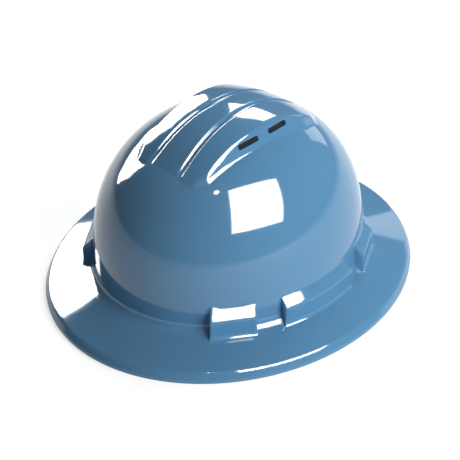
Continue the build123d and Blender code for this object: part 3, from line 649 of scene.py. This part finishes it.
def make_pad(node, outer, thickness, share, middle, half_angle, channels):
    """A cushion swept round the band's centre, with stitched channels across it."""
    low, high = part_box(node)
    bottom, top = low.z / MM, high.z / MM
    half_height, centre_z = (top - bottom) / 2, (top + bottom) / 2
    section = []
    for turn in np.linspace(0, 2 * math.pi, SECTION_POINTS, endpoint=False):
        c, s = math.cos(turn), math.sin(turn)
        v = math.copysign(abs(s) ** 0.55, s)
        u = (1 + abs(c) ** 0.7) / 2 if c > 0 else (1 - abs(c) ** 0.45) / 2
        section.append((u, v))
    section = np.array(section)
    columns = int(2 * half_angle * COLUMNS_PER_DEGREE)
    verts = []
    for turn in np.linspace(middle - half_angle, middle + half_angle, columns + 1):
        share_out = (turn - middle) / half_angle
        past = max(0.0, (abs(share_out) - END_FROM) / (1 - END_FROM))
        end = max(math.sqrt(max(0.0, 1 - past**2)), LEAST_END)
        seam = min(abs(share_out - s) for s in channels) * math.radians(half_angle) * outer
        pinch = 1 - SEAM_DEPTH * math.exp(-(seam / SEAM_WIDTH) ** 2)
        a = math.radians(turn)
        for u, v in section:
            edge = 1 - EDGE_DEPTH * smooth(EDGE_FROM, 1.0, abs(v))
            depth = thickness * u * pinch * edge * end
            radius = outer - depth
            verts.append((
                radius * math.cos(a),
                BAND_CENTRE_Y + radius * math.sin(a) * share,
                centre_z + v * (half_height - CORNER_DRAW * (1 - end)),
            ))
    n = len(section)
    faces = grid_faces(columns + 1, n, True)
    faces += [list(range(n))[::-1], [columns * n + i for i in range(n)]]
    pad = make_object(node + "_cushion", verts, faces)
    layer = pad.data.uv_layers.new(name="knit")
    arc_length = math.radians(2 * half_angle) * outer * (1 + share) / 2
    for loop in pad.data.loops:
        row, column = divmod(loop.vertex_index, n)
        layer.data[loop.index].uv = (row / columns * arc_length, section[column][1] * half_height)
    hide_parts(node)
    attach(pad, "headband")
    return pad


pads = [
    make_pad("brow_pad", BAND_RADIUS - PAD_GAP, 5.0, BAND_SHARE, 270.0, 41.0, [-0.6, -0.2, 0.2, 0.6]),
    make_pad("nape_pad", PLATE_INSIDE - PAD_GAP, 6.0, 1.0, 90.0, 27.0, [-0.34, 0.34]),
]
print("pads", [len(p.data.vertices) for p in pads])

# %% [markdown]
# ## Materials
# Colours are written as sRGB hex values, the way a paint chart gives them, and one function
# turns them into the linear values that the shader needs. One small function adds a node
# with its settings and its links.


# %% Colour and node helpers
def colour(hex_value):
    """Linear colour from an sRGB hex value."""
    channels = [int(hex_value[i:i + 2], 16) / 255 for i in (1, 3, 5)]
    return [c / 12.92 if c <= 0.04045 else ((c + 0.055) / 1.055) ** 2.4 for c in channels] + [1.0]


def add_node(tree, kind, settings=None, links=None):
    """A node with its settings by name and its inputs by value or by another node's socket."""
    node = tree.nodes.new(kind)
    for name, value in (settings or {}).items():
        setattr(node, name, value)
    for name, value in (links or {}).items():
        if isinstance(value, bpy.types.NodeSocket):
            tree.links.new(value, node.inputs[name])
        else:
            node.inputs[name].default_value = value
    return node


def new_material(name, settings):
    """A material with a Principled shader, and its tree and shader."""
    material = bpy.data.materials.new(name)
    material.use_nodes = True
    tree = material.node_tree
    tree.nodes.clear()
    shader = add_node(tree, "ShaderNodeBsdfPrincipled", links=settings)
    output = add_node(tree, "ShaderNodeOutputMaterial")
    tree.links.new(shader.outputs["BSDF"], output.inputs["Surface"])
    return material, tree, shader


# %% [markdown]
# ### Injection moulded, polished ABS
# The shell comes out of a mirror polished mould: an even pigmented blue under a very clear
# surface, so lamps show in it with sharp edges. Pigment varies over patches about 110 mm
# wide, sink from cooling bends the reflections a little over about 70 mm, and handling wear
# about 3 mm apart, coarser than the real marks so that it shows, makes the gloss uneven.

# %% Shell plastic
PIGMENT_MM, WEAR_MM, SINK_MM = 1000 / 9, 1000 / 320, 1000 / 14
abs_blue, tree, shader = new_material("moulded_polished_abs", {
    "Base Color": colour("#487495"),
    "Roughness": 0.06,
    "IOR": 1.5,
})
place = add_node(tree, "ShaderNodeTexCoord")
pigment = add_node(tree, "ShaderNodeTexNoise", links={
    "Vector": place.outputs["Object"], "Scale": 1000 / PIGMENT_MM, "Detail": 2.0})
tint = add_node(tree, "ShaderNodeMix", {"data_type": "RGBA"}, {"Factor": pigment.outputs["Fac"]})
tint.inputs[6].default_value = colour("#467192")
tint.inputs[7].default_value = colour("#4A7798")
tree.links.new(tint.outputs[2], shader.inputs["Base Color"])
wear = add_node(tree, "ShaderNodeTexNoise", links={
    "Vector": place.outputs["Object"], "Scale": 1000 / WEAR_MM, "Detail": 4.0})
gloss = add_node(tree, "ShaderNodeMapRange", links={
    "Value": wear.outputs["Fac"], "To Min": 0.04, "To Max": 0.09})
tree.links.new(gloss.outputs["Result"], shader.inputs["Roughness"])
wave = add_node(tree, "ShaderNodeTexNoise", links={
    "Vector": place.outputs["Object"], "Scale": 1000 / SINK_MM, "Detail": 1.0})
sink = add_node(tree, "ShaderNodeBump", links={
    "Height": wave.outputs["Fac"], "Strength": 0.05, "Distance": 0.002})
tree.links.new(sink.outputs["Normal"], shader.inputs["Normal"])
shell.data.materials.clear()
shell.data.materials.append(abs_blue)
print("shell plastic ready")


# %% [markdown]
# ### Moulded nylon, acetal, rubber and plated steel
# The keys, the band and the ratchet are satin nylon with a fine spark eroded grain, about
# 0.3 mm, drawn at 0.9 mm so that it shows. Acetal pieces are smoother and paler. The
# grip is soft rubber, and the screws are zinc plated steel, turned, so lightly brushed.

# %% Grained finishes
def grained(name, base, roughness, spread, grain_mm, depth_mm, extra=None):
    """A finish with a fine grain in its gloss and its surface."""
    settings = {"Base Color": colour(base), "Roughness": roughness, "IOR": 1.5}
    settings.update(extra or {})
    material, tree, shader = new_material(name, settings)
    place = add_node(tree, "ShaderNodeTexCoord")
    grain = add_node(tree, "ShaderNodeTexNoise", links={
        "Vector": place.outputs["Object"], "Scale": 1000.0 / grain_mm, "Detail": 3.0})
    rough = add_node(tree, "ShaderNodeMapRange", links={
        "Value": grain.outputs["Fac"], "To Min": roughness - spread, "To Max": roughness + spread})
    bump = add_node(tree, "ShaderNodeBump", links={
        "Height": grain.outputs["Fac"], "Strength": 0.5, "Distance": depth_mm * MM})
    tree.links.new(rough.outputs["Result"], shader.inputs["Roughness"])
    tree.links.new(bump.outputs["Normal"], shader.inputs["Normal"])
    return material


FINISHES = {
    "black_nylon": grained("spark_grained_nylon", "#232427", 0.42, 0.08, 0.9, 0.05),
    "grey_acetal": grained("moulded_acetal", "#8D9094", 0.3, 0.05, 1.4, 0.02),
    "grip_rubber": grained("moulded_rubber", "#18191B", 0.68, 0.1, 0.7, 0.08),
    "zinc_steel": grained("zinc_plated_steel", "#C3C6C9", 0.3, 0.1, 0.8, 0.01, {"Metallic": 1.0}),
}


# %% [markdown]
# ### Woven webbing
# Polyester webbing is a plain weave of flat bundles about 1.2 mm wide. Two crossed waves in
# the strap's own coordinates raise the bundles in turn, and the same pattern paints shade into
# the hollows between them: the lower a point, the more of the darker colour it takes.

# %% Cloths
def woven(name, light, hollow_shade, pitch_across, pitch_along, depth_mm, roughness):
    """Cloth whose threads follow the piece's own coordinates in millimetres, with painted shade in
    its hollows.
    """
    material, tree, shader = new_material(name, {
        "Roughness": roughness, "IOR": 1.5, "Sheen Weight": 0.35, "Sheen Roughness": 0.5})
    place = add_node(tree, "ShaderNodeTexCoord")
    split = add_node(tree, "ShaderNodeSeparateXYZ", links={"Vector": place.outputs["UV"]})
    waves = []
    for axis, pitch in (("X", pitch_across), ("Y", pitch_along)):
        turn = add_node(tree, "ShaderNodeMath", {"operation": "MULTIPLY"})
        tree.links.new(split.outputs[axis], turn.inputs[0])
        turn.inputs[1].default_value = math.pi / pitch
        wave = add_node(tree, "ShaderNodeMath", {"operation": "SINE"})
        tree.links.new(turn.outputs[0], wave.inputs[0])
        waves.append(wave)
    cross = add_node(tree, "ShaderNodeMath", {"operation": "MULTIPLY"})
    for i, wave in enumerate(waves):
        tree.links.new(wave.outputs[0], cross.inputs[i])
    level = add_node(tree, "ShaderNodeMapRange", links={
        "Value": cross.outputs[0], "From Min": -1.0, "From Max": 1.0})
    # Painted shade: the hollows between the bundles take the darker colour, which stands for shade
    # and not for a dye.
    thread_and_shade = add_node(tree, "ShaderNodeMix", {"data_type": "RGBA"}, {
        "Factor": level.outputs["Result"]})
    thread_and_shade.inputs[6].default_value = colour(hollow_shade)
    thread_and_shade.inputs[7].default_value = colour(light)
    bump = add_node(tree, "ShaderNodeBump", links={
        "Height": level.outputs["Result"], "Strength": 0.8, "Distance": depth_mm * MM})
    tree.links.new(thread_and_shade.outputs[2], shader.inputs["Base Color"])
    tree.links.new(bump.outputs["Normal"], shader.inputs["Normal"])
    return material


# The second colour of each cloth is painted shade for the hollows of its weave.
webbing = woven("woven_polyester_webbing", "#5A5D61", "#34363A", 1.2, 1.6, 0.25, 0.75)
knit = woven("brushed_knit_over_foam", "#2E3034", "#191A1D", 1.0, 1.4, 0.2, 0.9)
for strap in straps:
    strap.data.materials.append(webbing)
for pad in pads:
    pad.data.materials.append(knit)

# %% [markdown]
# ## Dress the solids
# The exact solids keep their own shape. They only get the finish that their slot names and
# a small eased edge, because no moulded edge is perfectly sharp.

# %% Finish the solids
EASE = {"headband": 0.35, "ratchet_cover": 0.35, "ratchet_knob": 0.4, "knob_grip": 0.3}
USUAL_EASE, EDGE_ANGLE = 0.2, math.radians(40)
slots = {part["node"]: part["material_slot"] for part in frame["record"]["subparts"]}
for name, node in NODES.items():
    if node.hide_render:
        continue
    node.data.materials.clear()
    node.data.materials.append(FINISHES[slots[name]])
    bevel = node.modifiers.new("eased edges", "BEVEL")
    bevel.width = EASE.get(name, USUAL_EASE) * MM
    bevel.segments = 2
    bevel.limit_method = "ANGLE"
    bevel.angle_limit = EDGE_ANGLE
    bevel.harden_normals = False
print("dressed", [n for n in NODES if not NODES[n].hide_render])

# %% [markdown]
# ## Studio
# The hat stands on matt paper. The paper itself is a mid grey, so it throws little light up
# under the brim, and a glow of its own brings it to white for the camera, for reflections and
# through glass, while diffuse light still lets the hat's shadow fall on it.

# %% Floor and world
FLOOR_SIZE, FLOOR_DROP, FLOOR_GLOW, SKY_LEVEL = 40.0, 0.0002, 0.6, 0.3
bpy.ops.mesh.primitive_plane_add(size=FLOOR_SIZE, location=(0, 0, -FLOOR_DROP))
floor = bpy.context.object
floor.name = "studio_floor"
paper, tree, shader = new_material("matt_studio_paper", {
    "Base Color": colour("#B4B4B4"), "Roughness": 0.9, "Specular IOR Level": 0.1})
shader.inputs["Emission Color"].default_value = colour("#FFFFFF")
rays = add_node(tree, "ShaderNodeLightPath")
seen = rays.outputs["Is Camera Ray"]
for name in ("Is Glossy Ray", "Is Transmission Ray"):
    both = add_node(tree, "ShaderNodeMath", {"operation": "MAXIMUM"})
    tree.links.new(seen, both.inputs[0])
    tree.links.new(rays.outputs[name], both.inputs[1])
    seen = both.outputs[0]
glow = add_node(tree, "ShaderNodeMath", {"operation": "MULTIPLY"})
tree.links.new(seen, glow.inputs[0])
glow.inputs[1].default_value = FLOOR_GLOW
tree.links.new(glow.outputs[0], shader.inputs["Emission Strength"])
floor.data.materials.append(paper)
world = bpy.data.worlds.new("studio")
bpy.context.scene.world = world
world.use_nodes = True
sky = world.node_tree.nodes["Background"]
sky.inputs["Color"].default_value = colour("#D9DBDD")
sky.inputs["Strength"].default_value = SKY_LEVEL
print("floor and world ready")

# %% [markdown]
# ## Reflections
# A glossy surface shows its surroundings, so the bright shapes on the hat are cards. We place
# each card's corners by azimuth and elevation, seen from the hat: a window on its left, a
# broad panel on its right, a smaller one and a faint one behind, and a small round lamp
# above the camera. They show in reflections only and throw no light on the matt pieces.


# %% Glowing cards
CARD_DISTANCE = 1.5
MIDDLE = Vector((0, 0, 0.06))


def on_dome(azimuth, elevation):
    """A place at the cards' distance, by two angles seen from the hat."""
    a, e = math.radians(azimuth), math.radians(elevation)
    way = Vector((math.cos(a) * math.cos(e), math.sin(a) * math.cos(e), math.sin(e)))
    return MIDDLE + CARD_DISTANCE * way


def glow_card(name, corners, strength):
    """A card that shows in reflections only."""
    places = [on_dome(*corner) / MM for corner in corners]
    card = make_object(name, places, [list(range(len(places)))], False)
    material = bpy.data.materials.new(name + "_glow")
    material.use_nodes = True
    tree = material.node_tree
    tree.nodes.clear()
    light = add_node(tree, "ShaderNodeEmission", links={"Strength": strength})
    output = add_node(tree, "ShaderNodeOutputMaterial")
    tree.links.new(light.outputs[0], output.inputs["Surface"])
    card.data.materials.append(material)
    card.visible_camera = card.visible_diffuse = card.visible_shadow = False


ROUND_AZIMUTH, ROUND_ELEVATION, ROUND_WIDE, ROUND_HIGH = -47.9, 69.0, 5.4, 1.9
round_turns = np.linspace(0, 2 * math.pi, 24, endpoint=False)
CARDS = {
    "window_card": (30.0, [(-24.5, 68.5), (38.3, 51.5), (11.5, 18.5), (-31.0, 25.0)]),
    "side_card": (26.0, [(141, 16), (141, 24), (150, 33), (162, 38), (175, 40), (190, 33), (195, 18),
                         (190, 4), (184, 4), (179, 8), (170, 11), (160, 10), (150, 15)]),
    "back_card": (26.0, [(134, 31.5), (131, 46), (113.5, 44), (112, 31)]),
    "edge_card": (2.5, [(90, 7), (90, 22), (109, 24), (109, 7)]),
    "round_card": (40.0, [(ROUND_AZIMUTH + ROUND_WIDE * math.cos(t),
                           ROUND_ELEVATION + ROUND_HIGH * math.sin(t)) for t in round_turns]),
}
for name, (strength, corners) in CARDS.items():
    glow_card(name, corners, strength)
print("cards ready")

# %% [markdown]
# ## Light
# Two broad lamps light the hat, one low on its left and one behind. Their
# powers and the sky's level are set so that the shell's colour renders as it is written.


# %% Soft lamps
def soft_lamp(name, azimuth, elevation, size, power):
    """A broad lamp that faces the hat and shows in no reflection."""
    lamp = bpy.data.objects.new(name, bpy.data.lights.new(name, "AREA"))
    lamp.data.size = size
    lamp.data.energy = power
    lamp.visible_glossy = False
    bpy.context.collection.objects.link(lamp)
    lamp.location = on_dome(azimuth, elevation)
    lamp.rotation_mode = "QUATERNION"
    lamp.rotation_quaternion = (MIDDLE - lamp.location).to_track_quat("-Z", "Y")


LAMP_SIZE, LEFT_POWER, BACK_POWER = 1.1, 31.0, 22.0
soft_lamp("left_lamp", 0.0, 22.0, LAMP_SIZE, LEFT_POWER)
soft_lamp("back_lamp", 110.0, 42.0, LAMP_SIZE, BACK_POWER)
print("lamps ready")

# %% [markdown]
# ## Camera
# The camera stands in front of the hat's left and looks down on it, as in the photograph.
# Its place, turn and focal length come from matching the brim, the crown and the bosses.

# %% Camera
AZIMUTH, ELEVATION, TILT = map(math.radians, (44.589, 35.519, -1.496))
FOCAL_PIXELS, DISTANCE, SHIFT_X, SHIFT_Y = 1530.0, 1273.93, 1.283, -20.603
IMAGE_PIXELS, SENSOR = 460.0, 36.0
level = math.cos(ELEVATION)
back = Vector((math.sin(AZIMUTH) * level, -math.cos(AZIMUTH) * level, math.sin(ELEVATION)))
right = Vector((math.cos(AZIMUTH), math.sin(AZIMUTH), 0))
up = back.cross(right)
side_way = math.cos(TILT) * right + math.sin(TILT) * up
up_way = -math.sin(TILT) * right + math.cos(TILT) * up
place = MIDDLE / MM + DISTANCE * back + SHIFT_X * side_way + SHIFT_Y * up_way
camera = bpy.data.objects.new("camera", bpy.data.cameras.new("camera"))
camera.data.sensor_width = SENSOR
camera.data.lens = FOCAL_PIXELS / IMAGE_PIXELS * SENSOR
turn_matrix = Matrix((side_way, up_way, back)).transposed().to_4x4()
camera.matrix_world = Matrix.Translation(place * MM) @ turn_matrix
camera.data.clip_start, camera.data.clip_end = 0.01, 100
bpy.context.collection.objects.link(camera)
bpy.context.scene.camera = camera
bpy.context.scene.view_settings.view_transform = "Standard"
print("camera at", [round(c, 3) for c in camera.location])
